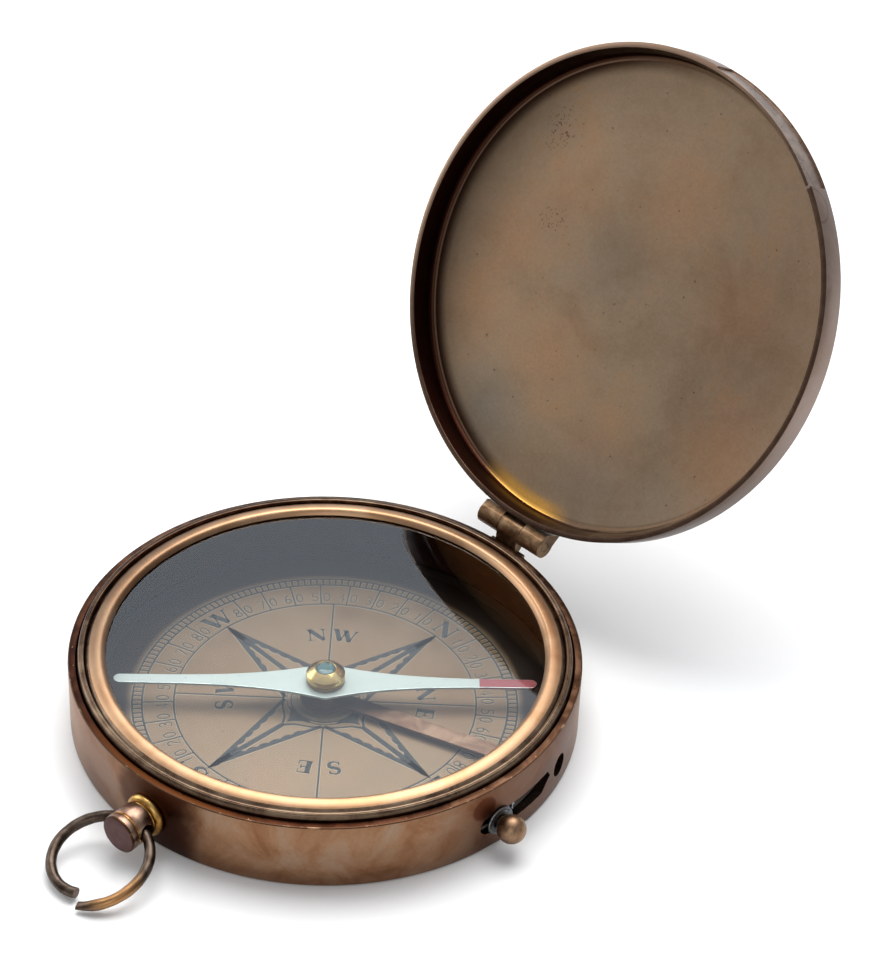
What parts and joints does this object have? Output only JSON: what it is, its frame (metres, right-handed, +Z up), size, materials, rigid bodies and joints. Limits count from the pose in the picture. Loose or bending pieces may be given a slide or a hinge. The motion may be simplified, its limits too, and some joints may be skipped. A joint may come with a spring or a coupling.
{
  "type": "pocket geology compass",
  "caption": "Round brass pocket compass with a hinged lid, engraved rose dial under glass, magnetic needle with a sliding lock, and a split bow ring.",
  "frame": {"origin": "middle of the case's flat underside", "axes": "+Z up out of the dial, +Y towards the lid's hinge and the dial's north, +X towards the lock knob"},
  "size_m": [0.0807, 0.1345, 0.0826],
  "materials": {
    "antique_brass": "antiqued, brown and pinkish patina, satin",
    "lid_brass": "antiqued, finely turned inside, satin",
    "polished_copper": "coppered, worn bright",
    "dark_brass": "dark brown, satin",
    "dial_metal": "engraved and silvered, dull",
    "needle_steel": "pale enamel with a red north tip",
    "yellow_brass": "turned, bright",
    "jewel_stone": "polished stone",
    "spring_copper": "rolled strip, satin",
    "blued_steel": "blued, oily",
    "window_glass": "clear, flat"
  },
  "bodies": {
    "case": {"case_body": "antique_brass", "dial_plate": "dial_metal", "glass": "window_glass", "glass_seat_ring": "dark_brass", "rim_band": "antique_brass", "bezel_ring": "polished_copper", "pivot_post": "yellow_brass", "arm_bracket": "yellow_brass", "arm_pin": "blued_steel", "arm_screw": "yellow_brass", "bow_stud": "antique_brass", "stud_nut": "yellow_brass", "case_knuckle": "antique_brass"},
    "lid": {"lid_rim": "lid_brass", "lid_plate": "lid_brass", "lid_knuckle_left": "lid_brass", "lid_knuckle_right": "lid_brass", "hinge_pin": "blued_steel"},
    "lock": {"lock_slide": "blued_steel", "lock_washer": "blued_steel", "lock_knob": "antique_brass"},
    "lifter": {"lifter_arm": "spring_copper"},
    "collar": {"lift_collar": "yellow_brass"},
    "needle": {"needle": "needle_steel", "needle_cap": "yellow_brass", "cap_jewel": "jewel_stone"},
    "bow": {"bow_ring": "antique_brass"}
  },
  "joints": [
    {"name": "lid_hinge", "type": "hinge", "parent": "case", "child": "lid", "pos_m": [0, 0.0402, 0.013], "axis": [1, 0, 0], "range_deg": [0, 118.3]},
    {"name": "lock_travel", "type": "hinge", "parent": "case", "child": "lock", "pos_m": [0, 0, 0.0045], "axis": [0, 0, 1], "range_deg": [0, 11.5]},
    {"name": "arm_tilt", "type": "hinge", "parent": "case", "child": "lifter", "pos_m": [0.03242, 0.0118, 0.00255], "axis": [-0.342, 0.9397, 0], "range_deg": [0, 3.2]},
    {"name": "collar_lift", "type": "slide", "parent": "case", "child": "collar", "axis": [0, 0, 1], "range_m": [0, 0.0021]},
    {"name": "needle_spin", "type": "hinge", "parent": "collar", "child": "needle", "pos_m": [0, 0, 0.0066], "axis": [0, 0, 1], "continuous": true},
    {"name": "bow_swing", "type": "hinge", "parent": "case", "child": "bow", "pos_m": [0.00386, -0.04082, 0.005], "axis": [-0.9956, -0.0941, 0], "range_deg": [-90, 112]}
  ],
  "couplings": [
    {"joint": "arm_tilt", "follows": "lock_travel", "ratio": 0.2755},
    {"joint": "collar_lift", "follows": "lock_travel", "m_per_rad": 0.010214}
  ]
}
